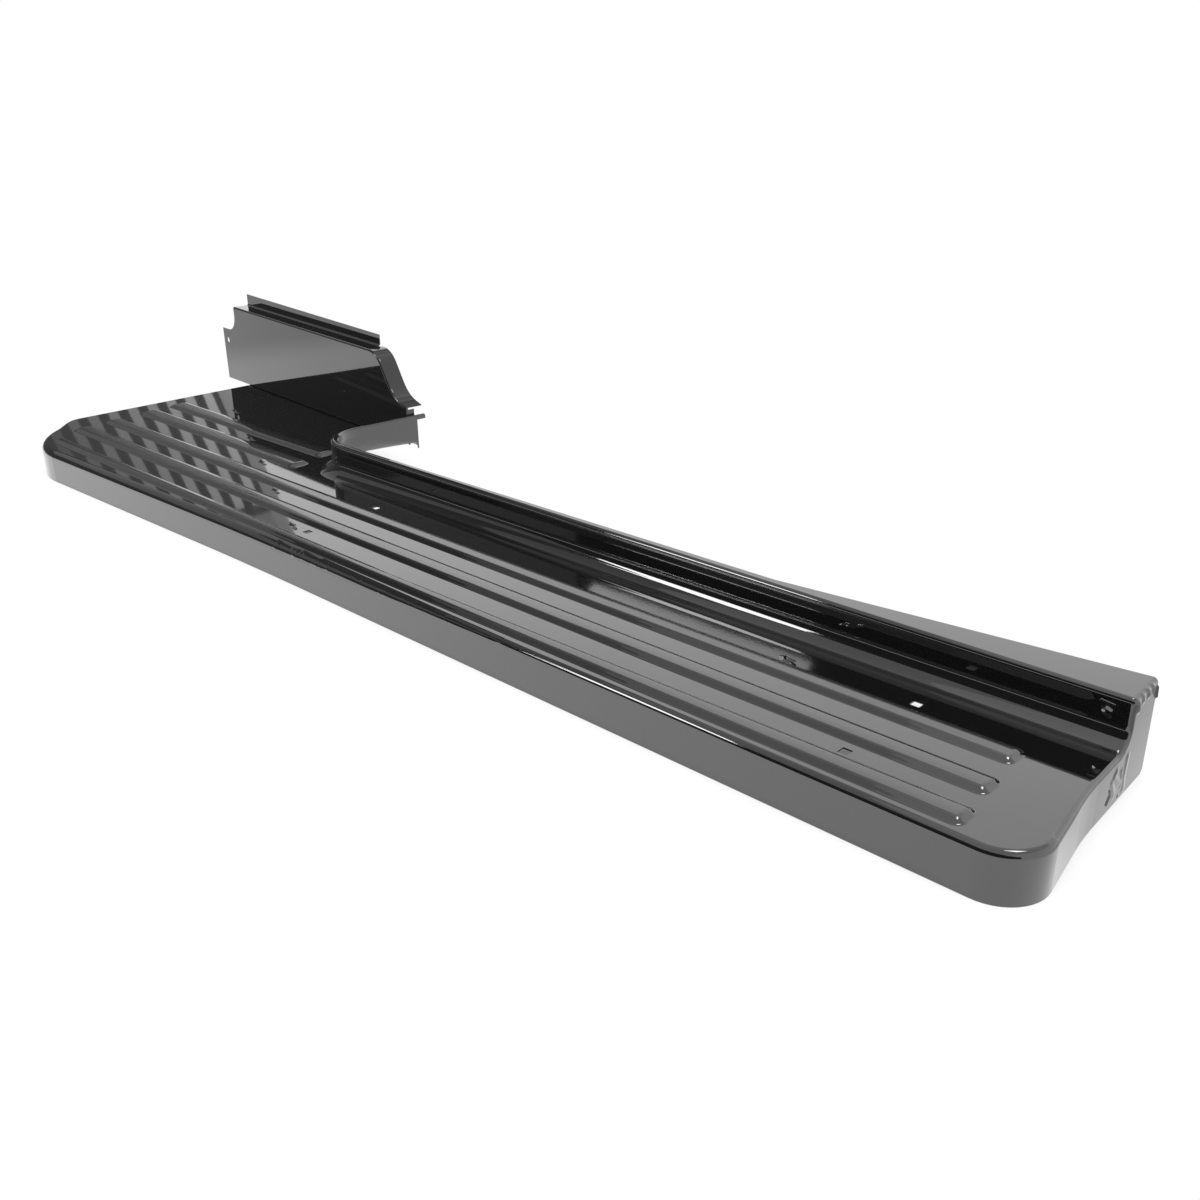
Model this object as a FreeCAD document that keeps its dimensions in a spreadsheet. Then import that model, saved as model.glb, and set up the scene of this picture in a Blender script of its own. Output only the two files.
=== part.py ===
"""Right-hand running board of a short-bed pickup, in pressed steel sheet.

The board is two pressings. The step board is drawn from one sheet: ribbed tread, outer skirt, end walls,
cove, wall with its top ledge, and the wide filler panel behind the cab. The splash apron is a flanged
pan that stands on the filler panel and carries a stepped flange along its top.

Build frame: +X forward, +Y inboard, +Z up. X = 0 is the front end of the board, Y = 0 the outer face of
the straight skirt, Z = 0 the lower edge of the skirt. The finished pieces are then moved together so that
the origin lies below the middle of the whole part, on the plane that it stands on.
"""
import FreeCAD, Part
import math
import os
import Sketcher

SIZES = {
    # Sheet and levels
    "sheet": 1.6,
    "tread_level": 50.0,
    "ledge_level": 98.0,
    # Plan of the step board, measured back from the front end
    "board_length": 1860.0,
    "corner_toe": 7.7,
    "front_bend_x": 14.5,
    "front_bend_y": 140.0,
    "front_inner_x": 22.0,
    "front_corner_radius": 45.0,
    "front_bend_radius": 400.0,
    "flare_start": 1110.0,
    "flare_width": 18.0,
    "flare_radius": 8000.0,
    "rear_cut_length": 98.0,
    "rear_cut_width": 118.0,
    "rear_corner_radius": 170.0,
    "rear_tip_radius": 40.0,
    # Roll between tread and skirt, and the rims of the other walls
    "nose_radius": 7.0,
    "nose_rear_radius": 12.0,
    "nose_change_start": 600.0,
    "nose_change_end": 990.0,
    "rim_radius": 5.0,
    # Wall, cove and ledge
    "wall_y": 228.0,
    "cove_radius": 21.0,
    "wall_fold_radius": 5.0,
    "ledge_fold_radius": 4.0,
    "ledge_rear_width": 11.0,
    "ledge_waist_width": 16.0,
    "ledge_front_width": 61.0,
    "ledge_waist_x": 420.0,
    "ledge_lip": 14.0,
    "return_lip": 7.0,
    "bead_overrun": 10.0,
    "end_return": 8.0,
    "end_corner_trim": 9.0,
    # Cab corner and the wall that turns inboard
    "return_x": 1292.0,
    "cab_corner_radius": 76.0,
    "return_bend_radius": 3.0,
    # Filler panel and apron line
    "apron_rear_y": 457.0,
    "apron_skew": 5.1,
    "panel_strip": 20.0,
    "panel_edge_flange": 10.0,
    "panel_edge_relief": 25.0,
    "panel_corner_radius": 8.0,
    # Ribs
    "rib_height": 4.2,
    "rib_flank": 5.6,
    "rib_corner_radius": 9.0,
    "rib_crown_radius": 9.0,
    "rib_foot_radius": 5.0,
    "rib_front_end": 66.0,
    "rib_front_step": 7.5,
    "rib_rear_gap": 85.0,
    "outer_rib_rear_gap": 115.0,
    "rib_rear_step": 9.75,
    "short_rib_front_end": 1312.0,
    "short_rib_step": 19.0,
    "rib_width": 32.0,
    "short_rib_width": 36.5,
    "rib_two_y": 69.0,
    "rib_three_y": 129.5,
    "rib_four_y": 199.5,
    "rib_five_y": 262.5,
    "outer_rib_y": 13.5,
    "outer_rib_rear_width": 21.5,
    "outer_rib_bend": 840.0,
    # Square bolt holes
    "bolt_square": 10.4,
    "bolt_front_x": 200.3,
    "bolt_rear_inner_x": 1058.0,
    "bolt_rear_outer_x": 1045.0,
    "bolt_outer_y": 52.8,
    "bolt_inner_y": 175.0,
    # Splash apron. Notch and hole are measured forward from its rear edge, sweep and upstand back from its
    # front edge, and levels up from the lower edge of the skirt
    "apron_overhang": 82.0,
    "apron_rear_top": 198.5,
    "apron_shelf": 33.0,
    "apron_flange": 30.5,
    "front_flange": 16.0,
    "apron_foot": 16.0,
    "apron_bend_radius": 3.0,
    "apron_corner_gap": 8.0,
    "flange_gap": 3.0,
    "apron_top_slope": 0.0154,
    "notch_floor": 151.5,
    "notch_side": 57.5,
    "notch_radius": 30.0,
    "sweep_start_reach": 80.4,
    "sweep_foot_reach": 35.4,
    "sweep_foot_level": 121.0,
    "sweep_end_level": 111.5,
    "sweep_top_radius": 42.0,
    "sweep_foot_radius": 60.0,
    "upstand_height": 21.0,
    "upstand_front_height": 18.0,
    "upstand_reach": 118.4,
    "fixing_hole": 10.5,
    "fixing_hole_along": 17.0,
    "fixing_hole_level": 129.0,
    # Reach of the cutting shapes past the sheet
    "cut_margin": 5.0,
}

NEAR = 0.05

doc = FreeCAD.newDocument("running_board")
size_sheet = doc.addObject("Spreadsheet::Sheet", "sizes")
for row, (alias, number) in enumerate(SIZES.items(), start=1):
    size_sheet.set(f"A{row}", alias)
    size_sheet.set(f"B{row}", str(number))
    size_sheet.setAlias(f"B{row}", alias)
doc.recompute()


class Size:
    """A size as a number together with the sheet expression that it comes from."""

    def __init__(self, value, text):
        self.value = value
        self.text = text

    def __add__(self, other):
        other = as_size(other)
        return Size(self.value + other.value, f"({self.text} + {other.text})")

    def __sub__(self, other):
        other = as_size(other)
        return Size(self.value - other.value, f"({self.text} - {other.text})")

    def __mul__(self, other):
        other = as_size(other)
        return Size(self.value * other.value, f"({self.text} * {other.text})")

    def __truediv__(self, other):
        other = as_size(other)
        return Size(self.value / other.value, f"({self.text} / {other.text})")

    def __neg__(self):
        return Size(-self.value, f"(0 - {self.text})")


def as_size(number):
    """A plain number becomes a size of its own."""
    if isinstance(number, Size):
        return number
    return Size(float(number), f"({float(number)})")


def size(alias):
    """The sheet cell with this alias."""
    return Size(float(size_sheet.get(alias)), f"sizes.{alias}")


def sine(angle):
    """Sine of an angle that the sheet holds in degrees."""
    return Size(math.sin(math.radians(angle.value)), f"sin({angle.text} * 1 deg)")


def cosine(angle):
    """Cosine of an angle that the sheet holds in degrees."""
    return Size(math.cos(math.radians(angle.value)), f"cos({angle.text} * 1 deg)")


def origin_plane(body, role):
    """The body's own origin plane with this role."""
    return next(plane for plane in body.Origin.OriginFeatures if plane.Role == role)


def trimmed_corner(before, spot, after, radius):
    """Where an arc of this radius leaves the two straight sides of a corner, and its middle and sweep."""
    incoming = (spot - before).normalize()
    outgoing = (after - spot).normalize()
    turn = incoming.getAngle(outgoing)
    reach = radius * math.tan(turn / 2)
    left = incoming.cross(outgoing).z > 0
    side = FreeCAD.Vector(-incoming.y, incoming.x, 0) * (radius if left else -radius)
    start = spot - incoming * reach
    centre = start + side
    end = spot + outgoing * reach
    bounds = [math.atan2(point.y - centre.y, point.x - centre.x) for point in (start, end)]
    return start, end, centre, bounds if left else bounds[::-1], left


def inset(corners, distance):
    """The same corners moved inwards square to their two sides. Inner radii shrink and outer ones grow."""
    spots = [FreeCAD.Vector(as_size(corner[0]).value, as_size(corner[1]).value, 0) for corner in corners]
    count = len(spots)
    area = sum(spots[index - 1].cross(spots[index]).z for index in range(count))
    sense = 1 if area > 0 else -1
    moved = []
    for index, corner in enumerate(corners):
        incoming = (spots[index] - spots[index - 1]).normalize()
        outgoing = (spots[(index + 1) % count] - spots[index]).normalize()
        normals = [FreeCAD.Vector(-way.y, way.x, 0) * sense for way in (incoming, outgoing)]
        shift = (normals[0] + normals[1]) / (1 + normals[0].dot(normals[1]))
        spot = [as_size(corner[0]) + distance * shift.x, as_size(corner[1]) + distance * shift.y]
        if len(corner) > 2:
            convex = incoming.cross(outgoing).z * sense > 0
            spot.append(corner[2] - distance if convex else corner[2] + distance)
        moved.append(tuple(spot))
    return moved


def outline(body, name, role, corners, level=None):
    """A closed sketch of straight sides. Each corner is bound to the sheet, and may be given a radius."""
    sketch = body.newObject("Sketcher::SketchObject", name)
    sketch.AttachmentSupport = [(origin_plane(body, role), "")]
    sketch.MapMode = "FlatFace"
    if level is not None:
        sketch.setExpression("AttachmentOffset.Base.z", level.text)
    spots = [FreeCAD.Vector(as_size(corner[0]).value, as_size(corner[1]).value, 0) for corner in corners]
    count = len(spots)
    starts, ends, arcs = list(spots), list(spots), {}
    for index, corner in enumerate(corners):
        if len(corner) > 2:
            before, after = spots[index - 1], spots[(index + 1) % count]
            leave, meet, centre, bounds, left = trimmed_corner(before, spots[index], after, corner[2].value)
            ends[index], starts[index] = leave, meet
            circle = Part.Circle(centre, FreeCAD.Vector(0, 0, 1), corner[2].value)
            arcs[index] = (Part.ArcOfCircle(circle, *bounds), left)
    for index in range(count):
        sketch.addGeometry(Part.LineSegment(starts[index], ends[(index + 1) % count]), False)

    def bind(rule, label, number):
        sketch.renameConstraint(rule, label)
        sketch.setExpression(f"Constraints.{label}", as_size(number).text)

    for index, corner in enumerate(corners):
        before = (index - 1) % count
        if index in arcs:
            curve, left = arcs[index]
            arc = sketch.addGeometry(curve, False)
            point = sketch.addGeometry(Part.Point(spots[index]), True)
            first, second = (1, 2) if left else (2, 1)
            sketch.addConstraint(Sketcher.Constraint("Tangent", before, 2, arc, first))
            sketch.addConstraint(Sketcher.Constraint("Tangent", arc, second, index, 1))
            sketch.addConstraint(Sketcher.Constraint("PointOnObject", point, 1, before))
            sketch.addConstraint(Sketcher.Constraint("PointOnObject", point, 1, index))
            rule = sketch.addConstraint(Sketcher.Constraint("Radius", arc, corner[2].value))
            bind(rule, f"corner_{index}_radius", corner[2])
            anchor = point
        else:
            sketch.addConstraint(Sketcher.Constraint("Coincident", before, 2, index, 1))
            anchor = index
        for axis, number in zip("XY", corner):
            distance = Sketcher.Constraint(f"Distance{axis}", -1, 1, anchor, 1, as_size(number).value)
            bind(sketch.addConstraint(distance), f"corner_{index}_{axis.lower()}", number)
    return sketch


def pad(body, name, sketch, length, taper=None, backwards=False):
    """A pad of the sketch whose collinear faces stay apart, so that their edges can be told apart."""
    feature = body.newObject("PartDesign::Pad", name)
    feature.Profile = sketch
    feature.Refine = False
    feature.Reversed = backwards
    feature.setExpression("Length", length.text)
    if taper is not None:
        feature.TaperAngle = taper
    doc.recompute()
    return feature


def tips(edge):
    """The two end points of an edge."""
    return [edge.valueAt(edge.FirstParameter), edge.valueAt(edge.LastParameter)]


def middle(edge):
    """The point halfway along an edge."""
    return edge.valueAt((edge.FirstParameter + edge.LastParameter) / 2)


def places(edge):
    """Both ends of an edge and the point halfway."""
    return [*tips(edge), middle(edge)]


def is_level(edge, level):
    """Whether the whole edge lies at this level."""
    return all(abs(point.z - level) < NEAR for point in places(edge))


def fillet(name, base, radii_of):
    """Round the edges for which the rule gives a pair of radii, one for each end."""
    feature = doc.addObject("Part::Fillet", name)
    feature.Base = base
    chosen = [(number, radii_of(edge)) for number, edge in enumerate(base.Shape.Edges, start=1)]
    feature.Edges = [(number, *radii) for number, radii in chosen if radii]
    doc.recompute()
    return feature


# Plan of the step board
skew = size("apron_skew")
apron_x = -size("board_length")
apron_y = size("apron_rear_y")


def on_apron_line(along, inboard):
    """A spot of the plan given along the skewed apron line and inboard of it."""
    x = apron_x + along * cosine(skew) + inboard * sine(skew)
    y = apron_y - along * sine(skew) + inboard * cosine(skew)
    return x, y


corner_y = size("wall_y") + size("cab_corner_radius")
return_along = (-size("return_x") - apron_x) * cosine(skew) - (corner_y - apron_y) * sine(skew)


def on_return_wall(outward, y):
    """The spot at this Y on the return wall's rear face, or on a line in front of that face."""
    along = return_along + outward
    return apron_x + (along + (y - apron_y) * sine(skew)) / cosine(skew), y


front_inner_y = size("wall_y") + size("ledge_front_width")


def front_x(y):
    """Where the front end lies at this Y, inboard of its bend."""
    slope = (size("front_inner_x") - size("front_bend_x")) / (front_inner_y - size("front_bend_y"))
    return -(size("front_bend_x") + slope * (y - size("front_bend_y")))


cab_inner_radius = size("cab_corner_radius") - size("ledge_rear_width")
toe = (size("corner_toe"), 0, size("front_corner_radius"))
nose_start = (-size("nose_change_start"), 0)
nose_end = (-size("nose_change_end"), 0)
flare = (-size("flare_start"), 0, size("flare_radius"))
rear_outer = (size("rear_cut_length") - size("board_length"), -size("flare_width"), size("rear_corner_radius"))
rear_tip = (-size("board_length"), size("rear_cut_width") - size("flare_width"), size("rear_tip_radius"))
rear_inner_y = apron_y + size("panel_strip") / cosine(skew)
rear_inner = (-size("board_length"), rear_inner_y, size("panel_corner_radius"))
return_front_end = on_apron_line(return_along + size("ledge_rear_width"), size("panel_strip"))
return_rear_end = on_apron_line(return_along, size("panel_strip"))
ledge_turn = on_return_wall(size("ledge_rear_width"), size("wall_y") + size("ledge_rear_width"))
ledge_corner = (*ledge_turn, cab_inner_radius)
ledge_waist = (-size("ledge_waist_x"), size("wall_y") + size("ledge_waist_width"))
front_inner = (-size("front_inner_x"), front_inner_y)
front_bend = (-size("front_bend_x"), size("front_bend_y"), size("front_bend_radius"))
wall_front = (front_x(size("wall_y")), size("wall_y"))
wall_corner = (*on_return_wall(as_size(0), size("wall_y")), size("cab_corner_radius"))

bead_end = size("panel_strip") + size("bead_overrun")
bead_front_end = on_apron_line(return_along + size("ledge_rear_width"), bead_end)
bead_rear_end = on_apron_line(return_along, bead_end)
TREAD_PLAN = [toe, nose_start, nose_end, flare, rear_outer, rear_tip, rear_inner,
              return_front_end, ledge_corner, ledge_waist, front_inner, front_bend]
RIDGE_PLAN = [wall_front, wall_corner, bead_rear_end, bead_front_end, ledge_corner, ledge_waist, front_inner]

# Plans of the ribs, from the outermost one inboard
flank_angle = math.atan2(SIZES["rib_height"], SIZES["rib_flank"])


def rib_plan(near, far, front, rear, bend=None, rear_far=None):
    """The foot of a rib, which may narrow towards its rear end."""
    corner = size("rib_corner_radius")
    corners = [(-front, far, corner), (-front, near, corner), (-rear, near, corner)]
    if bend is None:
        return corners + [(-rear, far, corner)]
    return corners + [(-rear, rear_far, corner), (-bend, rear_far)]


rib_near = size("outer_rib_y")
rib_rear_end = size("board_length") - size("rib_rear_gap")
RIB_PLANS = [rib_plan(
    rib_near, rib_near + size("rib_width"), size("rib_front_end"),
    size("board_length") - size("outer_rib_rear_gap"),
    size("outer_rib_bend"), rib_near + size("outer_rib_rear_width"))]
for step, near in enumerate(["rib_two_y", "rib_three_y"], start=1):
    RIB_PLANS.append(rib_plan(
        size(near), size(near) + size("rib_width"), size("rib_front_end") + size("rib_front_step") * step,
        rib_rear_end + size("rib_rear_step") * step))
for step, near in enumerate(["rib_four_y", "rib_five_y"]):
    RIB_PLANS.append(rib_plan(
        size(near), size(near) + size("short_rib_width"),
        size("short_rib_front_end") + size("short_rib_step") * step,
        rib_rear_end + size("rib_rear_step") * (step + 3)))


class StepForm:
    """The solid form of the step board's outer or inner surface, which the sheet lies between."""

    def __init__(self, name, skin):
        """Build the form at this depth below the outer surface."""
        self.name = name
        self.skin = skin
        self.depth = skin.value
        self.body = doc.addObject("PartDesign::Body", f"{name}_form")
        self.tread = size("tread_level") - skin
        self.ledge = size("ledge_level") - skin
        self.add_blocks()
        self.add_ribs()
        self.shape = self.round_edges()

    def add_blocks(self):
        """The tread block and the ridge that carries the ledge."""
        under = size("cut_margin") if self.depth else as_size(0)
        self.tread_plan = outline(self.body, f"{self.name}_tread_plan", "XY_Plane",
                                  inset(TREAD_PLAN, self.skin), -under)
        pad(self.body, f"{self.name}_tread_block", self.tread_plan, self.tread + under)
        ridge_plan = outline(self.body, f"{self.name}_ridge_plan", "XY_Plane",
                             inset(RIDGE_PLAN, self.skin), -under)
        pad(self.body, f"{self.name}_ridge", ridge_plan, self.ledge + under)

    def add_ribs(self):
        """The raised ribs with their sloping flanks."""
        slip = self.skin * math.tan(flank_angle / 2)
        self.rib_plans = []
        for number, corners in enumerate(RIB_PLANS, start=1):
            plan = outline(self.body, f"{self.name}_rib_{number}_plan", "XY_Plane", inset(corners, slip), self.tread)
            pad(self.body, f"{self.name}_rib_{number}", plan, size("rib_height"),
                math.degrees(flank_angle) - 90)
            self.rib_plans.append(plan)

    def round_edges(self):
        """Roll the cove, the folds and the rims. The ribs are rounded on their upper side only."""
        steps = [("coved", self.cove_and_fold), ("folded", self.ledge_fold), ("rimmed", self.rim)]
        if not self.depth:
            steps = [("crowned", self.rib_crown), ("footed", self.rib_foot), *steps]
        shape = self.body
        for label, rule in steps:
            shape = fillet(f"{self.name}_{label}", shape, rule)
        return shape

    def outward(self, name):
        """Twice this radius, once for each end, for an edge that is round on the outside."""
        return [SIZES[name] - self.depth] * 2

    def inward(self, name):
        """Twice this radius, once for each end, for an edge that is hollow on the outside."""
        return [SIZES[name] + self.depth] * 2

    def is_on_return(self, point):
        """Whether a spot lies on the rear face of the wall that turns inboard, in plan."""
        face_x = on_return_wall(self.skin, as_size(point.y))[0].value
        return abs(point.x - face_x) < NEAR and point.y > SIZES["wall_y"] + SIZES["cove_radius"]

    def is_on_wall(self, point, slack=NEAR):
        """Whether a spot lies on the wall's outer face in plan: its length, its corner or its return."""
        wall_y = SIZES["wall_y"] + self.depth
        middle_x = wall_corner[0].value + SIZES["cab_corner_radius"] * CAB_TURN
        if point.x > middle_x - NEAR:
            return abs(point.y - wall_y) < slack
        radius = SIZES["cab_corner_radius"] - self.depth
        away = math.hypot(point.x - middle_x, point.y - corner_y.value)
        if point.y < corner_y.value and abs(away - radius) < slack:
            return True
        face_x = on_return_wall(self.skin, as_size(point.y))[0].value
        return abs(away - radius) < slack or (abs(point.x - face_x) < slack and point.y > corner_y.value)

    def rib_crown(self, edge):
        """The loops around the tops of the ribs."""
        if is_level(edge, self.tread.value + SIZES["rib_height"]):
            return self.outward("rib_crown_radius")

    def rib_foot(self, edge):
        """The loops around the feet of the ribs."""
        spot = Part.Vertex(middle(edge))
        if is_level(edge, self.tread.value) and any(spot.distToShape(plan.Shape)[0] < NEAR for plan in self.rib_plans):
            return self.inward("rib_foot_radius")

    def cove_and_fold(self, edge):
        """The cove along the foot of the wall and the fold along the top of it."""
        if not all(self.is_on_wall(point) for point in places(edge)):
            return None
        if is_level(edge, self.ledge.value):
            return self.outward("wall_fold_radius")
        if is_level(edge, self.tread.value):
            names = ["return_bend_radius" if self.is_on_return(point) else "cove_radius" for point in tips(edge)]
            return [self.inward(name)[0] for name in names]

    def ledge_fold(self, edge):
        """The fold along the ledge's inboard edge."""
        if not is_level(edge, self.ledge.value):
            return None
        near_wall = any(self.is_on_wall(point, SIZES["wall_fold_radius"] + NEAR) for point in places(edge))
        on_front = all(self.is_on_front_end(point) for point in places(edge))
        on_end = all(abs(skewed_inboard(point) - (bead_end - self.skin).value) < NEAR for point in places(edge))
        if not near_wall and not on_front and not on_end:
            return self.outward("ledge_fold_radius")

    def is_on_front_end(self, point):
        """Whether a spot lies on the inboard part of the front end, in plan."""
        reach = SIZES["wall_y"] - SIZES["cove_radius"] - 1
        return point.y > reach and abs(point.x + self.depth * FRONT_TURN - front_x(as_size(point.y)).value) < NEAR

    def rim_radius_at(self, point):
        """The rim's radius at a spot: a wide roll along the skirt, a tighter one around both ends."""
        if point.y > self.depth + NEAR:
            return self.outward("rim_radius")[0]
        share = (-point.x - SIZES["nose_change_start"]) / (SIZES["nose_change_end"] - SIZES["nose_change_start"])
        radii = [self.outward(name)[0] for name in ("nose_radius", "nose_rear_radius")]
        return radii[0] + min(max(share, 0), 1) * (radii[1] - radii[0])

    def rim(self, edge):
        """The edges around the tread, up the front end of the wall and across the end of the ledge."""
        points = places(edge)
        if all(self.is_on_front_end(point) for point in points):
            above = points[2].z > self.tread.value + 1
            tall = abs(points[0].z - points[1].z) > SIZES["ledge_level"] / 3
            inboard_side = min(point.y for point in points) > front_inner_y.value - self.depth - 1
            return self.outward("rim_radius") if above and not (tall and inboard_side) else None
        behind = points[2].x < wall_corner[0].value
        ends = abs(points[2].x) < SIZES["front_inner_x"] or points[2].y < SIZES["outer_rib_y"] / 2
        if not is_level(edge, self.tread.value) or not (behind or ends):
            return None
        outer_edge = self.tread_plan.Shape.Wires[0].translated(FreeCAD.Vector(0, 0, points[2].z - self.base_level()))
        if Part.Vertex(points[2]).distToShape(outer_edge)[0] < NEAR:
            return [self.rim_radius_at(point) for point in points[:2]]

    def base_level(self):
        """The level of the tread plan's sketch."""
        return self.tread_plan.Shape.BoundBox.ZMin


skew_angle = math.radians(SIZES["apron_skew"])


def skewed_inboard(point):
    """How far inboard of the apron line a spot lies."""
    return (point.x - apron_x.value) * math.sin(skew_angle) + (point.y - apron_y.value) * math.cos(skew_angle)


# Distance from the wall's theoretical corner to the middle of its arc, for a radius of one
CAB_TURN = (1 + math.sin(skew_angle)) / math.cos(skew_angle)
front_lean = math.atan2(SIZES["front_inner_x"] - SIZES["front_bend_x"],
                        front_inner_y.value - SIZES["front_bend_y"])
FRONT_TURN = 1 / math.cos(front_lean)

outer = StepForm("outer", as_size(0))
inner = StepForm("inner", size("sheet"))
shell = doc.addObject("Part::Cut", "step_shell")
shell.Base = outer.shape
shell.Tool = inner.shape
doc.recompute()


# Openings of the step board
def prism(name, corners, bottom, top, role="XY_Plane"):
    """A prism over this outline, between two distances along the normal of its plane."""
    body = doc.addObject("PartDesign::Body", name)
    plan = outline(body, f"{name}_plan", role, corners, bottom)
    pad(body, f"{name}_pad", plan, top - bottom)
    return body


def box(name, corner, extents):
    """A box with its lowest corner and its three lengths bound to the sheet."""
    feature = doc.addObject("Part::Box", name)
    for side, length in zip(("Length", "Width", "Height"), extents):
        feature.setExpression(side, as_size(length).text)
    for axis, place in zip("xyz", corner):
        feature.setExpression(f"Placement.Base.{axis}", as_size(place).text)
    return feature


def cut(name, base, tools):
    """The base with all the tools taken away."""
    fused = doc.addObject("Part::MultiFuse", f"{name}_tools")
    fused.Shapes = tools
    feature = doc.addObject("Part::Cut", name)
    feature.Base = base
    feature.Tool = fused
    doc.recompute()
    return feature


sheet = size("sheet")
margin = size("cut_margin")
lip_start = sheet + size("ledge_fold_radius")
window_front = -(size("front_inner_x") + sheet + size("end_return"))
window_reach = bead_end + margin
window_corner = on_return_wall(lip_start, size("wall_y") + lip_start)
window_end = on_apron_line(return_along + lip_start, window_reach)
below_ledge = prism("below_ledge", [
    (window_front, size("wall_y") + lip_start),
    (*window_corner, size("cab_corner_radius") - lip_start),
    window_end, (window_front, window_end[1])], -margin, size("ledge_level") - size("ledge_lip"))
return_start = corner_y + size("ledge_rear_width")
below_bead = prism("below_bead", [
    on_return_wall(lip_start, return_start), window_end,
    on_apron_line(return_along + size("ledge_rear_width") + margin, window_reach),
    on_return_wall(size("ledge_rear_width") + margin, return_start)],
    -margin, size("ledge_level") - size("return_lip"))
past_wall = prism("past_wall", [
    on_apron_line(return_along - margin, size("panel_strip")),
    on_apron_line(return_along - margin, window_reach), window_end,
    on_apron_line(return_along + lip_start, size("panel_strip"))],
    -margin, size("ledge_level") - size("return_lip"))
panel_side = size("panel_strip") - sheet * 2
below_panel = prism("below_panel", [
    on_apron_line(size("end_return") + sheet, panel_side),
    on_apron_line(size("end_return") + sheet, window_reach),
    on_apron_line(return_along + size("ledge_rear_width") + margin, window_reach),
    on_apron_line(return_along + size("ledge_rear_width") + margin, panel_side)],
    -margin, size("tread_level") - size("panel_edge_flange"))
relief_start = return_along - size("panel_edge_relief")
edge_relief = prism("edge_relief", [
    on_apron_line(relief_start, panel_side), on_apron_line(relief_start, window_reach),
    on_apron_line(return_along, window_reach), on_apron_line(return_along, panel_side)],
    -margin, size("tread_level") - size("rim_radius"))
trim = size("end_corner_trim")
end_corner = prism("end_corner", [
    (front_inner_y - trim - margin, -margin), (front_inner_y + margin, -margin),
    (front_inner_y + margin, trim + margin)], window_front - margin, margin, "YZ_Plane")

BOLTS = [("bolt_front_x", "bolt_outer_y"), ("bolt_front_x", "bolt_inner_y"),
         ("bolt_rear_outer_x", "bolt_outer_y"), ("bolt_rear_inner_x", "bolt_inner_y")]
square = size("bolt_square")
bolt_holes = [
    box(f"bolt_hole_{number}", (-size(x) - square / 2, size(y) - square / 2, size("tread_level") - margin),
        (square, square, margin * 2))
    for number, (x, y) in enumerate(BOLTS, start=1)]
step_board = cut("step_board", shell, [
    below_ledge, below_bead, past_wall, below_panel, edge_relief, end_corner, *bolt_holes])

# Splash apron: x runs forward from its rear edge, y inboard from its outer face
apron_length = size("apron_overhang") + return_along
sweep_start = apron_length - size("sweep_start_reach")
sweep_foot = apron_length - size("sweep_foot_reach")
upstand_end = apron_length - size("upstand_reach")


def apron_top(along):
    """The level of the apron's top shelf, which falls slightly towards the front."""
    return size("apron_rear_top") - (as_size(along) - size("notch_side")) * size("apron_top_slope")


def sweep(rear_edge):
    """The apron's face from its foot forward and up over the sweep to the top, closed at the rear."""
    return [
        (rear_edge, size("tread_level")), (apron_length, size("tread_level")),
        (apron_length, size("sweep_end_level")),
        (sweep_foot, size("sweep_foot_level"), size("sweep_foot_radius")),
        (sweep_start, apron_top(sweep_start), size("sweep_top_radius"))]


def upright(name, corners, start, depth):
    """A block over an outline in the apron's face, between two distances inboard."""
    body = doc.addObject("PartDesign::Body", name)
    plan = outline(body, f"{name}_plan", "XZ_Plane", corners, -start)
    pad(body, f"{name}_pad", plan, depth, backwards=True)
    return body


def face_bends(skin):
    """The rule that rounds the edges of a block along its face, but for its rear side and notch."""
    def rule(edge):
        on_face = all(abs(point.y - skin.value) < NEAR for point in places(edge))
        spot = middle(edge)
        ahead = spot.x > size("notch_side").value + NEAR
        if on_face and ahead:
            return [SIZES["apron_bend_radius"] - skin.value] * 2
    return rule


notch = [
    (size("notch_side"), size("apron_rear_top")),
    (size("notch_side"), size("notch_floor"), size("notch_radius")),
    (0, size("notch_floor"))]
apron_block = upright("apron_block", sweep(as_size(0)) + notch, as_size(0), size("apron_shelf"))
apron_form = fillet("apron_form", apron_block, face_bends(as_size(0)))
behind = -margin
hollow_plan = inset(sweep(behind) + [(behind, apron_top(behind))], sheet)
hollow_block = upright("hollow_block", hollow_plan, sheet, size("apron_shelf") + margin)
apron_hollow = fillet("apron_hollow", hollow_block, face_bends(sheet))
apron_pan = doc.addObject("Part::Cut", "apron_pan")
apron_pan.Base = apron_form
apron_pan.Tool = apron_hollow
doc.recompute()

past_bend = sheet + size("apron_bend_radius")
gap = size("apron_corner_gap")
reach = size("apron_shelf") + margin
flange_trim = box("flange_trim", (upstand_end, size("apron_flange"), size("tread_level") - margin),
                  (apron_length - upstand_end + margin, reach, size("apron_rear_top")))
fold_relief = box("fold_relief", (upstand_end, size("apron_shelf") - past_bend - sheet, size("tread_level")),
                  (gap, reach, size("apron_rear_top")))
front_trim = box("front_trim", (apron_length - sheet * 2, size("front_flange"), size("tread_level") - margin),
                 (sheet * 2 + margin, reach, size("sweep_end_level") - size("tread_level") + margin - sheet * 2))
foot_trim = box("foot_trim", (-margin, size("apron_foot"), size("tread_level") - margin),
                (apron_length + margin * 2, reach, margin * 2))
foot_gap = box("foot_gap", (apron_length - gap, past_bend, size("tread_level") - margin),
               (gap + margin, reach, gap + margin))
slit = size("flange_gap")
sweep_gap = box("sweep_gap", (apron_length - sheet * 2, past_bend, size("sweep_end_level") - sheet - slit),
                (sheet * 2 + margin, reach, slit))
fixing_hole = doc.addObject("Part::Cylinder", "fixing_hole")
fixing_hole.setExpression("Radius", (size("fixing_hole") / 2).text)
fixing_hole.setExpression("Height", (margin * 2).text)
fixing_hole.setExpression("Placement.Base.x", size("fixing_hole_along").text)
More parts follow.
